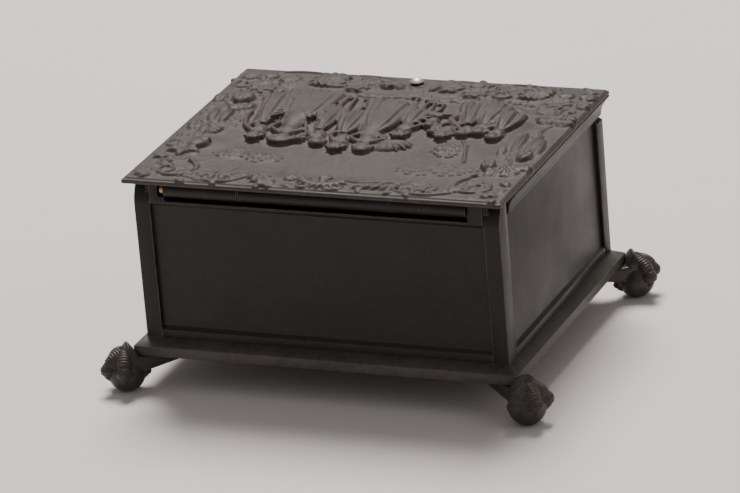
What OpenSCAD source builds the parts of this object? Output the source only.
// Casket inkwell: a cast metal box on ball-and-claw feet with a hinged relief lid.
// A deck inside carries two glass ink pots with lift-off caps and a lift-out pen tray.
// Millimetres, +Z up, standing on Z = 0, centred on the Z axis.
// The front, with the thumb knob, faces -Y, and the hinge is along the back at +Y.

/* [Case] */
// Width of the case across the faces of its corner posts
case_w = 127; // [110:1:160]
// Depth of the case across the faces of its corner posts
case_d = 99.8; // [84:0.2:126]
// Height of the front and side walls above the base frame
wall_h = 48; // [42:0.2:62]
// Thickness of the four wall panels
panel_t = 2.4; // [2:0.1:3.4]
// How far the panels lie behind the faces of the posts
recess = 1.2; // [0.8:0.1:1.8]
// Height of the rail along the foot of each panel
rail_h = 2.9; // [2:0.1:5]
// Height of the bevel above that rail
rail_bevel = 1.3; // [0.6:0.1:2.5]
// How far a panel's edge runs into its groove in a post
groove_lap = 1.6; // [1.2:0.1:2.4]
// Metal left between the two grooves of a post
groove_web = 0.3; // [0.2:0.1:1]
// Width of a back post's face on the side of the case
back_post_d = 7.1; // [6:0.1:9]
// Height below the lid at which the back posts start to round inwards
shoulder_h = 8.9; // [6:0.1:12]

// Height of the flush band along the top of the back panel
top_rail_h = 8.7; // [7:0.1:12]
// Radius of that rounding
shoulder_r = 12; // [11:0.1:24]
// Chamfer round the top of the front posts
post_chamfer = 1.2; // [0.4:0.1:1.6]

/* [Base] */
// Height of the base frame's underside above the ground
base_z = 12.2; // [10.8:0.1:15]
// Height of the base frame's upright face
fascia_h = 3.45; // [3:0.05:5]
// Height of the slope above that face
flare_h = 2.05; // [1.6:0.05:3]
// How far the base frame stands out past the posts
flare_out = 3.65; // [2.6:0.05:5]
// Small chamfer along the base frame's lower edge
fascia_chamfer = 0.4; // [0.2:0.1:0.8]
// Thickness of the floor plate
floor_t = 2; // [1.6:0.1:2.6]
// Width of the ledge that the floor plate lies on
ledge_w = 3; // [2.4:0.1:4.5]

/* [Feet] */
// Radius of the ball in each claw
ball_r = 6.4; // [5.4:0.1:7.6]
// Depth of the flat that each ball stands on
ball_flat = 0.25; // [0.15:0.05:0.4]
// Distance of the ball's centre past the side of the base frame
foot_out_x = 3.1; // [2:0.1:5]
// Distance of the ball's centre past the front or back of the base frame
foot_out_y = 0.7; // [0:0.1:4]
// Radius of a talon
talon_r = 1.9; // [1.5:0.1:2.3]
// Radius of the ankle above the ball
ankle_r = 5.4; // [4.6:0.1:6.4]
// Height of the ankle's top above the base frame's underside
ankle_rise = 4.6; // [3.4:0.1:5.4]
// Length of the arm under the base frame, from the ball's centre
arm_l = 26; // [20:0.5:34]
// Width of that arm
arm_w = 8; // [7:0.1:10]
// Thickness of the arm at its inner end
arm_tip_t = 1.6; // [1.2:0.1:2.5]
// Thickness of the arm where it leaves the ball
arm_root_t = 6.6; // [5:0.1:7.5]

/* [Lid] */
// Thickness of the lid plate without its relief
lid_t = 1.4; // [1.2:0.1:2.2]
// Overhang of the lid plate at the front and the sides
lid_over = 2.3; // [1.4:0.1:3]
// Overhang of the lid plate at the back
lid_back_over = 3.5; // [1.4:0.1:3.8]
// Height of the moulding under the lid plate
rim_h = 7; // [5.6:0.1:8]
// Gap between the closed lid and the walls
lid_gap = 0.2; // [0.1:0.05:0.5]
// How far the moulding's foot stays behind the faces of the posts
rim_foot_in = 0.7; // [0.3:0.1:1.2]
// Height of the lip at the top of the moulding
lip_h = 1; // [0.6:0.1:2]
// Gap between the side mouldings and the back posts, for the lid's swing
rim_end_gap = 2.9; // [0.8:0.1:4]
// Width of the ornamented border round the lid
border_w = 13; // [10:0.5:18]
// Height of the border's relief
border_relief = 1.5; // [0.8:0.1:2.2]
// Height of the relief of the scene in the middle
scene_relief = 2.8; // [1.6:0.1:3.4]

/* [Hinge] */
// Radius of the hinge knuckles
knuckle_r = 2.75; // [2:0.05:3]
// Radius of the hinge pin
pin_r = 0.9; // [0.7:0.05:1.1]
// Distance of the hinge axis in from the faces of the back posts
axis_in = 1.8; // [1.6:0.05:2]
// Room beside the hinge for the head of its pin
pin_head_room = 2.4; // [2:0.1:4]

// Length of the hinge, which sets the width of the notch in the back panel
hinge_l = 105; // [88:1:115]
// Length of each of the two knuckles on the case
case_knuckle_l = 11; // [8:0.5:16]
// Distance of those knuckles' middles from the middle of the hinge
case_knuckle_x = 32; // [24:0.5:38]
// Thickness of both hinge leaves
leaf_t = 1.1; // [0.9:0.05:1.4]
// Length of the lid's leaf from the hinge axis
lid_leaf_l = 11; // [8:0.5:16]
// Height of the case's leaf below the hinge axis
case_leaf_h = 14; // [10:0.5:18]

/* [Thumb knob] */
// Distance of the knob's middle behind the front moulding, which its stem clears
knob_in = 1.8; // [1.6:0.1:5]
// Radius of the knob's dome
knob_r = 2.35; // [1.8:0.05:3]
// Height of the dome
knob_h = 1.3; // [0.8:0.1:2]

// Height of the seat under the dome
knob_cup_h = 0.5; // [0.3:0.1:1.5]
// Radius of the knob's stem
knob_stem_r = 1.1; // [0.8:0.05:1.3]
// Length of the stem below the lid plate
knob_stem_l = 1; // [0.5:0.1:1.5]

/* [Deck] */
// Height of the deck's top face above the floor
deck_h = 26.3; // [24:0.1:32]
// Thickness of the deck
deck_t = 1.6; // [1.2:0.1:2.2]
// Gap between the deck and the walls
deck_gap = 0.3; // [0.2:0.05:0.6]
// Length of the rests under the deck's ends
rest_l = 66; // [50:1:78]
// Width of each rest
rest_w = 6; // [5:0.1:6.4]
// Height of each rest
rest_h = 8; // [6:0.1:12]
// Thickness of the rests
rest_t = 1.5; // [1.2:0.1:2]

/* [Ink pots] */
// Distance of each pot from the middle of the case
pot_x = 30; // [27:0.5:31]
// Distance of the pots behind the middle of the case
pot_y = 15; // [13:0.5:18]
// Outer radius of a pot
pot_r = 17.5; // [14:0.1:21]
// Thickness of a pot's wall
pot_t = 2.6; // [2:0.1:3.5]
// Thickness of a pot's bottom
pot_bottom_t = 4; // [3:0.1:6]
// Height of a pot's bottom above the floor
pot_lift_off = 2; // [1:0.1:3]
// Outer radius of a pot's neck
neck_r = 10.5; // [8:0.1:12.6]
// Height of the neck above the deck
neck_h = 5.5; // [4.5:0.1:6.5]
// Gap between a pot and its hole in the deck
pot_gap = 0.5; // [0.3:0.05:0.8]
// How far the collar's flange laps the deck round the hole
collar_lap = 2.6; // [2:0.1:3]
// Thickness of the collar's flange
collar_t = 1.2; // [0.9:0.1:1.6]
// Height of the collar's hub
collar_h = 2.4; // [2:0.1:3]
// Thickness of the collar's hub
collar_hub_t = 2.2; // [1.4:0.1:2.6]
// Thickness of a cap's wall and top
cap_t = 1.4; // [1:0.1:1.8]
// Gap between a cap and the neck inside it
cap_gap = 0.3; // [0.2:0.05:0.5]
// Radius of the bead on top of a cap
finial_r = 1.5; // [1:0.1:1.8]
// Thickness of the cork inside a cap
cork_t = 1; // [0.8:0.1:1.5]

/* [Pen tray] */
// Length of the tray's trough
tray_l = 102; // [80:1:104]
// Width of the tray's trough
tray_w = 19.4; // [16:0.1:21]
// Depth of the trough
tray_d = 9; // [7:0.1:12]
// Radius of the trough's bottom
tray_r = 13; // [12:0.1:18]
// Thickness of the tray's metal
tray_t = 1; // [0.8:0.1:1.3]
// Width of the tray's flange
tray_flange = 2; // [1.6:0.1:2.2]
// Distance of the tray's middle from the front panel
tray_in = 19.3; // [13:0.1:21]

/* [Screws] */
// Radius of the long screws that hold a foot, the frame and a post together
foot_screw_r = 1; // [0.8:0.05:1.1]
// Length of those screws inside a post
foot_screw_l = 12; // [8:0.5:18]
// Radius of the small screws and rivets
screw_r = 0.8; // [0.6:0.05:0.9]
// Height of the small screws' heads
screw_head_h = 0.7; // [0.5:0.05:0.9]

/* [Fits] */
// Clearance where one still piece fits into another
fit = 0.05; // [0.02:0.01:0.1]
// Radial clearance of the hinge pin in the lid's knuckles
pin_play = 0.05; // [0.02:0.01:0.1]
// Gap between neighbouring knuckles
knuckle_gap = 0.3; // [0.2:0.05:0.5]

/* [Hidden] */
$fn = 64;

// How far a cutting shape runs past what it cuts
over = 1;
half_w = case_w / 2;
half_d = case_d / 2;
// From a post's face to the inner face of the panels
skin = recess + panel_t;
post_w = skin + groove_lap + groove_web;
front_post_d = post_w;
// Where the long screw stands, in from both faces of a post
screw_in = (post_w - groove_lap) / 2;

base_half_w = half_w + flare_out;
base_half_d = half_d + flare_out;
fascia_top = base_z + fascia_h;
frame_top = fascia_top + flare_h;
floor_half_w = half_w - skin + fit;
floor_half_d = half_d - skin + fit;

wall_top = frame_top + wall_h;
rim_z = wall_top + lid_gap;
plate_z = rim_z + rim_h;
plate_top = plate_z + lid_t;
back_top = plate_z - lid_gap;
shoulder_z = back_top - shoulder_h;

lid_half_w = half_w + lid_over;
lid_front = half_d + lid_over;
lid_back = half_d + lid_back_over;
rim_inner = skin - 0.3;
knob_y = rim_inner - half_d + knob_in;
rim_foot_w = rim_inner - rim_foot_in;
rim_lip_w = rim_inner + lid_over;
rim_cove_w = rim_lip_w - 0.4;
rim_foot_h = 0.8;
rim_end_y = half_d - back_post_d - rim_end_gap;

axis_y = half_d - axis_in;
axis_z = plate_z - knuckle_r - 0.15;
notch_z = axis_z - knuckle_r - 1.1;

ball_x = base_half_w + foot_out_x;
ball_y = base_half_d + foot_out_y;
ball_z = ball_r - ball_flat;
foot_screw_x = half_w - screw_in;
foot_screw_y = half_d - screw_in;
arm_turn = atan2(ball_y - foot_screw_y, ball_x - foot_screw_x);
head_seat_z = base_z - 2.6;
// The talons' middle lines run round the ball on this radius
grip_r = ball_r + talon_r * 0.42;

deck_z = frame_top + deck_h;
deck_under = deck_z - deck_t;
deck_half_w = half_w - skin - deck_gap;
deck_half_d = half_d - skin - deck_gap;
rest_face = half_w - skin;
pot_z = frame_top + pot_lift_off;
neck_top = deck_z + neck_h;
pot_hole_r = pot_r + pot_gap;
cap_z = deck_z + collar_h + 0.3;
cap_ceiling = neck_top + cork_t + 0.1;
cap_r = neck_r + cap_gap + cap_t;
tray_play = 0.3;
tray_y = half_d - skin - tray_in;

metal = "#25221f";
worn_metal = "#4a443e";
brass = "#b08d4a";

// ---- shapes shared by several pieces ----

// A block given by its lowest and highest corners
module block(low, high) {
    translate(low)
        cube(high - low);
}

// A pin or hole along +X, +Y or +Z from a point
module rod_x(r, from, length) {
    translate(from)
        rotate([0, 90, 0])
            cylinder(r = r, h = length);
}

module rod_y(r, from, length) {
    translate(from)
        rotate([-90, 0, 0])
            cylinder(r = r, h = length);
}

module rod_z(r, from, length) {
    translate(from)
        cylinder(r = r, h = length);
}

// A piece drawn in the corner at +X, +Y, moved to the corner with these signs
module at_corner(sx, sy) {
    mirror([sx < 0 ? 1 : 0, 0, 0])
        mirror([0, sy < 0 ? 1 : 0, 0])
            children();
}

// An outline in (outwards, up), run along X or along Y and centred
module run_x(length) {
    translate([-length / 2, 0, 0])
        rotate([90, 0, 90])
            linear_extrude(length)
                children();
}

module run_y(length) {
    translate([0, length / 2, 0])
        rotate([90, 0, 0])
            linear_extrude(length)
                children();
}

// ---- base ----

module frame_outline(half) {
    low = half - fascia_chamfer;
    polygon([[-low, base_z], [low, base_z], [half, base_z + fascia_chamfer], [half, fascia_top],
        [half - flare_out, frame_top], [flare_out - half, frame_top], [-half, fascia_top],
        [-half, base_z + fascia_chamfer]]);
}

module base_frame() {
    inner_w = floor_half_w - ledge_w;
    inner_d = floor_half_d - ledge_w;
    color(metal)
        difference() {
            intersection() {
                run_x(2 * base_half_w + over)
                    frame_outline(base_half_d);
                run_y(2 * base_half_d + over)
                    frame_outline(base_half_w);
            }
            block([-inner_w, -inner_d, base_z - over], [inner_w, inner_d, frame_top + over]);
            block([-floor_half_w, -floor_half_d, frame_top - floor_t],
                [floor_half_w, floor_half_d, frame_top + over]);
            for (sx = [-1, 1], sy = [-1, 1])
                rod_z(foot_screw_r + fit, [sx * foot_screw_x, sy * foot_screw_y, base_z - over],
                    frame_top - base_z + 2 * over);
            floor_screw_places()
                rod_z(screw_r + fit, [0, 0, base_z + 1], floor_t + fascia_h);
        }
}

// Three screws along each long ledge, with their heads just clear of the panels
module floor_screw_places() {
    for (sx = [-1, 0, 1], sy = [-1, 1])
        translate([sx * (floor_half_w - 12), sy * (floor_half_d - 2 * screw_r - 0.3), 0])
            children();
}

module floor_plate() {
    w = floor_half_w - fit;
    d = floor_half_d - fit;
    color(worn_metal)
        difference() {
            block([-w, -d, frame_top - floor_t], [w, d, frame_top]);
            floor_screw_places()
                rod_z(screw_r + fit, [0, 0, frame_top - floor_t - over], floor_t + 2 * over);
        }
}

module floor_screws() {
    color(brass)
        floor_screw_places()
            union() {
                rod_z(screw_r, [0, 0, base_z + 1.2], frame_top - base_z - 1.2);
                rod_z(2 * screw_r, [0, 0, frame_top], screw_head_h);
            }
}

// ---- feet ----

// A bead of a talon on its way round the ball, at this angle up from level
module talon_bead(up, r) {
    rotate([0, -up, 0])
        translate([grip_r, 0, 0])
            sphere(r = r, $fn = 16);
}

// One talon bent round the ball: thick at its knuckles, and pointed at its nail
module talon(turn, steps) {
    translate([ball_x, ball_y, ball_z])
        rotate([0, 0, turn])
            for (i = [0:len(steps) - 2])
                hull() {
                    talon_bead(steps[i][0], talon_r * steps[i][1]);
                    talon_bead(steps[i + 1][0], talon_r * steps[i + 1][1]);
                }
}

// The arm that runs in under the base frame, seen from its side
module arm_outline() {
    polygon([[0, base_z - arm_root_t], [arm_l, base_z - arm_tip_t], [arm_l, base_z + over],
        [0, base_z + over]]);
}

module foot() {
    difference() {
        union() {
            translate([ball_x, ball_y, ball_z])
                sphere(r = ball_r, $fn = 28);
            translate([ball_x + 0.6, ball_y + 0.6, base_z + ankle_rise - ankle_r])
                sphere(r = ankle_r, $fn = 24);
            for (turn = [-17, 45, 107])
                talon(turn, [[70, 1.1], [38, 1.2], [2, 0.95], [-32, 0.5]]);
            talon(225, [[20, 0.9], [-4, 0.9], [-30, 0.5]]);
            translate([ball_x, ball_y, 0])
                rotate([0, 0, arm_turn + 180])
                    rotate([90, 0, 0])
                        translate([0, 0, -arm_w / 2])
                            linear_extrude(arm_w)
                                arm_outline();
        }
        block([0, 0, base_z], [base_half_w + fit, base_half_d + fit, base_z + 3 * ankle_rise]);
        block([0, 0, -2 * ball_r], [2 * ball_x, 2 * ball_y, 0]);
        rod_z(foot_screw_r + fit, [foot_screw_x, foot_screw_y, 0], base_z + over);
        rod_z(2 * foot_screw_r + 0.2, [foot_screw_x, foot_screw_y, 0], head_seat_z);
    }
}

module foot_front_left() {
    color(metal)
        at_corner(-1, -1)
            foot();
}

module foot_front_right() {
    color(metal)
        at_corner(1, -1)
            foot();
}

module foot_back_left() {
    color(metal)
        at_corner(-1, 1)
            foot();
}

module foot_back_right() {
    color(metal)
        at_corner(1, 1)
            foot();
}

module foot_screws() {
    color(worn_metal)
        for (sx = [-1, 1], sy = [-1, 1])
            translate([sx * foot_screw_x, sy * foot_screw_y, 0])
                difference() {
                    union() {
                        rod_z(foot_screw_r, [0, 0, head_seat_z], frame_top + foot_screw_l - head_seat_z);
                        rod_z(2 * foot_screw_r, [0, 0, head_seat_z - 1.5], 1.5);
                    }
                    block([-3 * foot_screw_r, -0.25, head_seat_z - 1.6],
                        [3 * foot_screw_r, 0.25, head_seat_z - 0.9]);
                }
}

// ---- case ----

// Everything in front of a face at +Y that rounds inwards above the shoulder
module rounded_back(face) {
    block([0, 0, 0], [half_w + over, face, shoulder_z]);
    intersection() {
        rod_x(shoulder_r, [-over, face - shoulder_r, shoulder_z], half_w + 3 * over);
        block([0, 0, shoulder_z - over], [half_w + over, face + over, back_top + over]);
    }
}

// The grooves for the panels, and the hole for the long screw
module post_cuts(depth, top) {
    block([half_w - post_w - over, half_d - skin - fit, frame_top - over],
        [half_w - post_w + groove_lap + fit, half_d - recess, top + over]);
    block([half_w - skin - fit, half_d - depth - over, frame_top - over],
        [half_w - recess, half_d - depth + groove_lap + fit, wall_top + fit]);
    rod_z(foot_screw_r + fit, [foot_screw_x, foot_screw_y, frame_top - over], foot_screw_l + over + 0.5);
}

module back_post() {
    difference() {
        intersection() {
            block([half_w - post_w, half_d - back_post_d, frame_top], [half_w, half_d, back_top]);
            rounded_back(half_d);
        }
        post_cuts(back_post_d, back_top);
    }
}

module front_post() {
    c = post_chamfer;
    difference() {
        block([half_w - post_w, half_d - front_post_d, frame_top], [half_w, half_d, wall_top]);
        post_cuts(front_post_d, wall_top);
        translate([half_w, half_d, wall_top])
            rotate([0, 45, 0])
                cube([c, 3 * post_w, c], center = true);
        translate([half_w, half_d, wall_top])
            rotate([45, 0, 0])
                cube([3 * post_w, c, c], center = true);
    }
}

module post_front_left() {
    color(metal)
        at_corner(-1, -1)
            front_post();
}

module post_front_right() {
    color(metal)
        at_corner(1, -1)
            front_post();
}

module post_back_left() {
    color(metal)
        at_corner(-1, 1)
            back_post();
}

module post_back_right() {
    color(metal)
        at_corner(1, 1)
            back_post();
}

// The rail and bevel at the foot of a panel, outwards and up from the panel's face
module rail_outline(face) {
    polygon([[face, frame_top], [face + recess, frame_top], [face + recess, frame_top + rail_h],
        [face, frame_top + rail_h + rail_bevel]]);
}

// The flush band along the top of the back panel, bevelled at its foot, and at its top so that
// the lid's plate turns past it
module top_rail_outline(face) {
    foot = back_top - top_rail_h;
    polygon([[face - 0.5, foot], [face, foot], [face + recess, foot + rail_bevel],
        [face + recess, back_top - recess], [face, back_top], [face - 0.5, back_top]]);
}

// A panel whose outer face looks to +Y
module long_panel(top) {
    end = half_w - post_w + groove_lap;
    block([-end, half_d - skin, frame_top], [end, half_d - recess, top]);
    run_x(2 * (half_w - post_w - fit))
        rail_outline(half_d - recess);
}

// A panel whose outer face looks to +X
module end_panel() {
    back = half_d - back_post_d;
    front = half_d - front_post_d;
    block([half_w - skin, -front - groove_lap, frame_top], [half_w - recess, back + groove_lap, wall_top]);
    translate([0, (back - front) / 2, 0])
        run_y(back + front - 2 * fit)
            rail_outline(half_w - recess);
}

module front_panel() {
    color(metal)
        mirror([0, 1, 0])
            long_panel(wall_top);
}

module back_panel() {
    color(metal)
        difference() {
            union() {
                long_panel(back_top);
                run_x(2 * (half_w - post_w - fit))
                    top_rail_outline(half_d - recess);
            }
            block([-hinge_l / 2 - knuckle_gap, 0, notch_z],
                [hinge_l / 2 + knuckle_gap, half_d + over, back_top + over]);
            block([0, 0, axis_z - knuckle_r + 0.4],
                [hinge_l / 2 + pin_head_room, half_d + over, back_top + over]);
            case_leaf_screw_places()
                rod_y(screw_r + fit, [0, -over, 0], over + panel_t - 0.4);
        }
}

module rest_screw_places() {
    for (sy = [-1, 1])
        translate([rest_face, sy * rest_l / 3, deck_under - rest_h * 0.6])
            children();
}

module side_panel() {
    difference() {
        end_panel();
        rest_screw_places()
            rod_x(screw_r + fit, [-over, 0, 0], over + panel_t - 0.4);
    }
}

module left_panel() {
    color(metal)
        mirror([1, 0, 0])
            side_panel();
}

module right_panel() {
    color(metal)
        side_panel();
}

// ---- deck ----

module deck_screw_places() {
    for (sx = [-1, 1], sy = [-1, 1])
        translate([sx * (rest_face - rest_w / 2), sy * rest_l * 0.4, 0])
            children();
}

module deck_rest() {
    difference() {
        union() {
            block([rest_face - rest_t, -rest_l / 2, deck_under - rest_h],
                [rest_face, rest_l / 2, deck_under]);
            block([rest_face - rest_w, -rest_l / 2, deck_under - rest_t],
                [rest_face, rest_l / 2, deck_under]);
        }
        rest_screw_places()
            rod_x(screw_r + fit, [-rest_t - over, 0, 0], rest_t + 2 * over);
        deck_screw_places()
            rod_z(screw_r + fit, [0, 0, deck_under - rest_t - over], rest_t + 2 * over);
    }
}

module deck_rest_left() {
    color(brass)
        mirror([1, 0, 0])
            deck_rest();
}

module deck_rest_right() {
    color(brass)
        deck_rest();
}

module deck_rest_screws() {
    color(brass)
        for (side = [0, 1])
            mirror([side, 0, 0])
                rest_screw_places()
                    union() {
                        rod_x(screw_r, [-rest_t, 0, 0], rest_t + panel_t - 0.6);
                        rod_x(2 * screw_r, [-rest_t - screw_head_h, 0, 0], screw_head_h);
                    }
}

module deck_plate() {
    corner_w = half_w - post_w - deck_gap;
    color(worn_metal)
        difference() {
            block([-deck_half_w, -deck_half_d, deck_under], [deck_half_w, deck_half_d, deck_z]);
            for (sx = [-1, 1]) {
                at_corner(sx, -1)
                    block([corner_w, half_d - front_post_d - deck_gap, 0], [half_w, half_d, deck_z + over]);
                at_corner(sx, 1)
                    block([corner_w, half_d - back_post_d - deck_gap, 0], [half_w, half_d, deck_z + over]);
                rod_z(pot_hole_r, [sx * pot_x, pot_y, deck_under - over], deck_t + 2 * over);
            }
            block([-tray_l / 2 - tray_play, -tray_y - tray_w / 2 - tray_play, deck_under - over],
                [tray_l / 2 + tray_play, -tray_y + tray_w / 2 + tray_play, deck_z + over]);
            deck_screw_places()
                rod_z(screw_r + fit, [0, 0, deck_under - over], deck_t + 2 * over);
        }
}

module deck_screws() {
    color(brass)
        deck_screw_places()
            union() {
                rod_z(screw_r, [0, 0, deck_under - rest_t], deck_t + rest_t);
                rod_z(2 * screw_r, [0, 0, deck_z], screw_head_h);
            }
}

// ---- hinge ----

module case_leaf_screw_places() {
    for (x = [-0.42, -0.14, 0.14, 0.42])
        translate([x * hinge_l, half_d - skin, axis_z - case_leaf_h * 0.65])
            children();
}

module case_hinge_leaf() {
    face = half_d - skin;
    color(brass)
        difference() {
            union() {
                block([-hinge_l / 2, face - leaf_t, axis_z - case_leaf_h], [hinge_l / 2, face, notch_z]);
                for (side = [-1, 1]) {
                    low = side * case_knuckle_x - case_knuckle_l / 2;
                    block([low, face - leaf_t, notch_z - over], [low + case_knuckle_l, face, axis_z]);
                    rod_x(knuckle_r, [low, axis_y, axis_z], case_knuckle_l);
                }
            }
            rod_x(pin_r + fit / 2, [-hinge_l, axis_y, axis_z], 2 * hinge_l);
            case_leaf_screw_places()
                rod_y(screw_r + fit, [0, -leaf_t - over, 0], leaf_t + 2 * over);
        }
}

module case_leaf_screws() {
    color(brass)
        case_leaf_screw_places()
            union() {
                rod_y(screw_r, [0, -leaf_t, 0], leaf_t + panel_t - 0.6);
                rod_y(2 * screw_r, [0, -leaf_t - screw_head_h, 0], screw_head_h);
            }
}

module hinge_pin() {
    color(brass)
        union() {
            rod_x(pin_r, [-hinge_l / 2, axis_y, axis_z], hinge_l + knuckle_gap + 0.5);
            rod_x(2 * pin_r, [hinge_l / 2 + knuckle_gap, axis_y, axis_z], pin_head_room - 1.2);
        }
}

module lid_rivet_places() {
    for (x = [-0.42, -0.14, 0.14, 0.42])
        translate([x * hinge_l, axis_y - lid_leaf_l * 0.65, plate_z])
            children();
}

module lid_hinge_leaf() {
    color(brass)
        difference() {
            union() {
                block([-hinge_l / 2, axis_y - lid_leaf_l, plate_z - leaf_t], [hinge_l / 2, axis_y, plate_z]);
                rod_x(knuckle_r, [-hinge_l / 2, axis_y, axis_z], hinge_l);
            }
            for (side = [-1, 1]) {
                length = case_knuckle_l + 2 * knuckle_gap;
                low = side * case_knuckle_x - length / 2;
                block([low, axis_y - knuckle_r - 0.4, axis_z - 2 * knuckle_r],
                    [low + length, axis_y + 2 * knuckle_r, plate_z + over]);
            }
            rod_x(pin_r + pin_play, [-hinge_l, axis_y, axis_z], 2 * hinge_l);
            lid_rivet_places()
                rod_z(screw_r + fit, [0, 0, -leaf_t - over], leaf_t + 2 * over);
        }
}

module lid_leaf_rivets() {
    color(brass)
        lid_rivet_places()
            union() {
                rod_z(screw_r, [0, 0, -leaf_t], leaf_t + lid_t * 0.6);
                rod_z(2 * screw_r, [0, 0, -leaf_t - screw_head_h], screw_head_h);
            }
}

// ---- lid ----

// The moulding's outline: outwards from its inner face, up from its foot
module rim_outline() {
    start = rim_foot_w + 0.5;
    rise = rim_h - lip_h - rim_foot_h;
    run = rim_cove_w - start;
    cove_r = (rise * rise + run * run) / (2 * run);
    difference() {
        polygon([[0, 0], [rim_foot_w, 0], [start, rim_foot_h], [rim_cove_w, rim_foot_h],
            [rim_cove_w, rim_h - lip_h], [rim_lip_w, rim_h - lip_h + 0.3], [rim_lip_w, rim_h], [0, rim_h]]);
        translate([start + cove_r, rim_foot_h])
            circle(r = cove_r, $fn = 96);
    }
}

// The ground plan of one side's share of the lid, cut at 45 degrees at the front corner
module side_share() {
    reach = half_w + 5;
    inner = half_w - rim_inner;
    front_inner = half_d - rim_inner;
    linear_extrude(plate_top)
        polygon([[inner, rim_end_y], [reach, rim_end_y], [reach, -front_inner - reach + inner],
            [inner, -front_inner]]);
}

module side_rim() {
    intersection() {
        translate([half_w - rim_inner, 0, rim_z])
            run_y(4 * half_d)
                rim_outline();
        side_share();
    }
}

module lid_rim_left() {
    color(metal)
        mirror([1, 0, 0])
            side_rim();
}

module lid_rim_right() {
    color(metal)
        side_rim();
}

module lid_rim_front() {
    inner = half_w - rim_inner;
    front_inner = half_d - rim_inner;
    reach = 5;
    color(metal)
        intersection() {
            mirror([0, 1, 0])
                translate([0, front_inner, rim_z])
                    run_x(3 * half_w)
                        rim_outline();
            linear_extrude(plate_top)
                polygon([[-inner, -front_inner], [inner, -front_inner],
                    [inner + reach, -front_inner - reach], [-inner - reach, -front_inner - reach]]);
        }
}

// Rounded heaps that stand for the figures of the scene, from left to right
module scene_heaps() {
    heaps = [[-36, -4, 10, 0.6], [-24, -8, 9, 0.8], [-11, -2, 8, 0.9], [2, 2, 10, 1],
        [14, -6, 9, 0.9], [26, -4, 10, 0.9], [38, -2, 8, 0.7]];
    for (heap = heaps)
        translate([heap[0], heap[1], plate_top - 0.1])
            cylinder(r1 = heap[2], r2 = heap[2] * 0.6, h = scene_relief * heap[3] + 0.1);
}

module lid_plate() {
    inner_w = lid_half_w - border_w;
    inner_front = lid_front - border_w;
    inner_back = lid_back - border_w;
    edge = 1;
    color(metal)
        difference() {
            union() {
                block([-lid_half_w, -lid_front, plate_z], [lid_half_w, lid_back, plate_top]);
                difference() {
                    block([edge - lid_half_w, edge - lid_front, plate_top - 0.1],
                        [lid_half_w - edge, lid_back - edge, plate_top + border_relief]);
                    block([-inner_w, -inner_front, plate_top - 0.1],
                        [inner_w, inner_back, plate_top + border_relief + over]);
                }
                scene_heaps();
            }
            rod_z(knob_stem_r + fit, [0, knob_y, plate_z - over],
                lid_t + border_relief + 2 * over);
            lid_rivet_places()
                rod_z(screw_r + fit, [0, 0, -over], over + lid_t * 0.6 + 0.05);
        }
}

module knob_cup() {
    base = plate_top + border_relief;
    color(metal)
        translate([0, knob_y, base])
            rotate_extrude()
                polygon([[knob_stem_r + fit, 0], [knob_r * 0.8, 0], [knob_r, knob_cup_h],
                    [knob_stem_r + fit, knob_cup_h]]);
}

module thumb_knob() {
    top = plate_top + border_relief + knob_cup_h;
    dome_r = (knob_r * knob_r + knob_h * knob_h) / (2 * knob_h);
    color("#cdbfb6")
        translate([0, knob_y, 0])
            union() {
                intersection() {
                    translate([0, 0, top + knob_h - dome_r])
                        sphere(r = dome_r);
                    rod_z(2 * knob_r, [0, 0, top], 2 * knob_r);
                }
                rod_z(knob_stem_r, [0, 0, plate_z - knob_stem_l], top + 0.5 - plate_z + knob_stem_l);
            }
}

// ---- ink pots ----

// A piece turned about a pot's axis, on the left at -1 and on the right at 1
module at_pot(side) {
    translate([side * pot_x, pot_y, 0])
        children();
}

module pot_body() {
    shoulder = deck_under - 1.5;
    bore_r = neck_r - pot_t;
    inner_r = pot_r - pot_t;
    rotate_extrude()
        polygon([[0, pot_z], [pot_r - 1.5, pot_z], [pot_r, pot_z + 1.5], [pot_r, shoulder],
            [neck_r + 1.5, deck_z - 0.3], [neck_r, deck_z - 0.3], [neck_r, neck_top], [bore_r, neck_top],
            [bore_r, deck_z - pot_t], [inner_r, shoulder - pot_t / 2],
            [inner_r, pot_z + pot_bottom_t + 1], [inner_r - 1, pot_z + pot_bottom_t],
            [0, pot_z + pot_bottom_t]]);
}

module ink_pot_left() {
    color("#a9c4c9", 0.5)
        at_pot(-1)
            pot_body();
}

module ink_pot_right() {
    color("#a9c4c9", 0.5)
        at_pot(1)
            pot_body();
}

module collar() {
    bore = neck_r + fit;
    flange = pot_hole_r + collar_lap;
    rotate_extrude()
        polygon([[bore, deck_z], [flange, deck_z], [flange, deck_z + collar_t * 0.6],
            [flange - 0.6, deck_z + collar_t], [neck_r + collar_hub_t, deck_z + collar_t],
            [neck_r + collar_hub_t, deck_z + collar_h], [bore, deck_z + collar_h]]);
}

module pot_collar_left() {
    color(brass)
        at_pot(-1)
            collar();
}

module pot_collar_right() {
    color(brass)
        at_pot(1)
            collar();
}

module cap() {
    inside = neck_r + cap_gap;
    top = cap_ceiling + cap_t;
    union() {
        rotate_extrude()
            polygon([[inside, cap_z], [cap_r + 0.5, cap_z], [cap_r + 0.5, cap_z + 0.8], [cap_r, cap_z + 1.2],
                [cap_r, cap_ceiling - 0.6], [cap_r - 2, top - 0.4], [cap_r - 5, top], [0, top],
                [0, cap_ceiling], [inside, cap_ceiling]]);
        translate([0, 0, top + finial_r * 0.6])
            sphere(r = finial_r);
    }
}

module pot_cap_left() {
    color(brass)
        at_pot(-1)
            cap();
}

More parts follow.
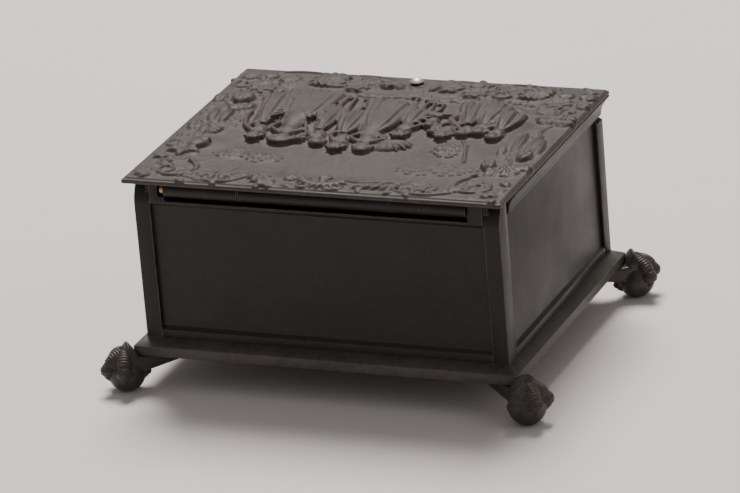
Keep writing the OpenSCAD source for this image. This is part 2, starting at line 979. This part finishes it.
module pot_cap_right() {
    color(brass)
        at_pot(1)
            cap();
}

module cork() {
    rod_z(neck_r - 0.2, [0, 0, neck_top + 0.1], cork_t);
}

module cap_cork_left() {
    color("#b98f62")
        at_pot(-1)
            cork();
}

module cap_cork_right() {
    color("#b98f62")
        at_pot(1)
            cork();
}

// ---- pen tray ----

// The trough's cross-section, below the deck's top face
module trough_outline(inset) {
    intersection() {
        translate([-tray_w / 2 + inset, -tray_d])
            square([tray_w - 2 * inset, tray_d + over]);
        translate([0, tray_r - tray_d])
            circle(r = tray_r - inset, $fn = 96);
    }
}

module pen_tray() {
    flange_w = tray_l / 2 + tray_flange;
    flange_d = tray_w / 2 + tray_flange;
    color(brass)
        translate([0, -tray_y, deck_z])
            difference() {
                union() {
                    block([-flange_w, -flange_d, 0], [flange_w, flange_d, tray_t]);
                    intersection() {
                        run_x(tray_l)
                            trough_outline(0);
                        block([-tray_l, -tray_w, -2 * tray_d], [tray_l, tray_w, tray_t / 2]);
                    }
                }
                intersection() {
                    run_x(tray_l - 2 * tray_t)
                        trough_outline(tray_t);
                    block([-tray_l, -tray_w, -2 * tray_d], [tray_l, tray_w, tray_t / 4]);
                }
                block([tray_t - tray_l / 2, tray_t - tray_w / 2, 0],
                    [tray_l / 2 - tray_t, tray_w / 2 - tray_t, 2 * tray_t]);
            }
}

base_frame();
floor_plate();
floor_screws();
foot_front_left();
foot_front_right();
foot_back_left();
foot_back_right();
foot_screws();
post_front_left();
post_front_right();
post_back_left();
post_back_right();
front_panel();
back_panel();
left_panel();
right_panel();
deck_rest_left();
deck_rest_right();
deck_rest_screws();
deck_plate();
deck_screws();
case_hinge_leaf();
case_leaf_screws();
hinge_pin();
lid_plate();
lid_rim_front();
lid_rim_left();
lid_rim_right();
lid_hinge_leaf();
lid_leaf_rivets();
knob_cup();
thumb_knob();
ink_pot_left();
ink_pot_right();
pot_collar_left();
pot_collar_right();
pot_cap_left();
pot_cap_right();
cap_cork_left();
cap_cork_right();
pen_tray();
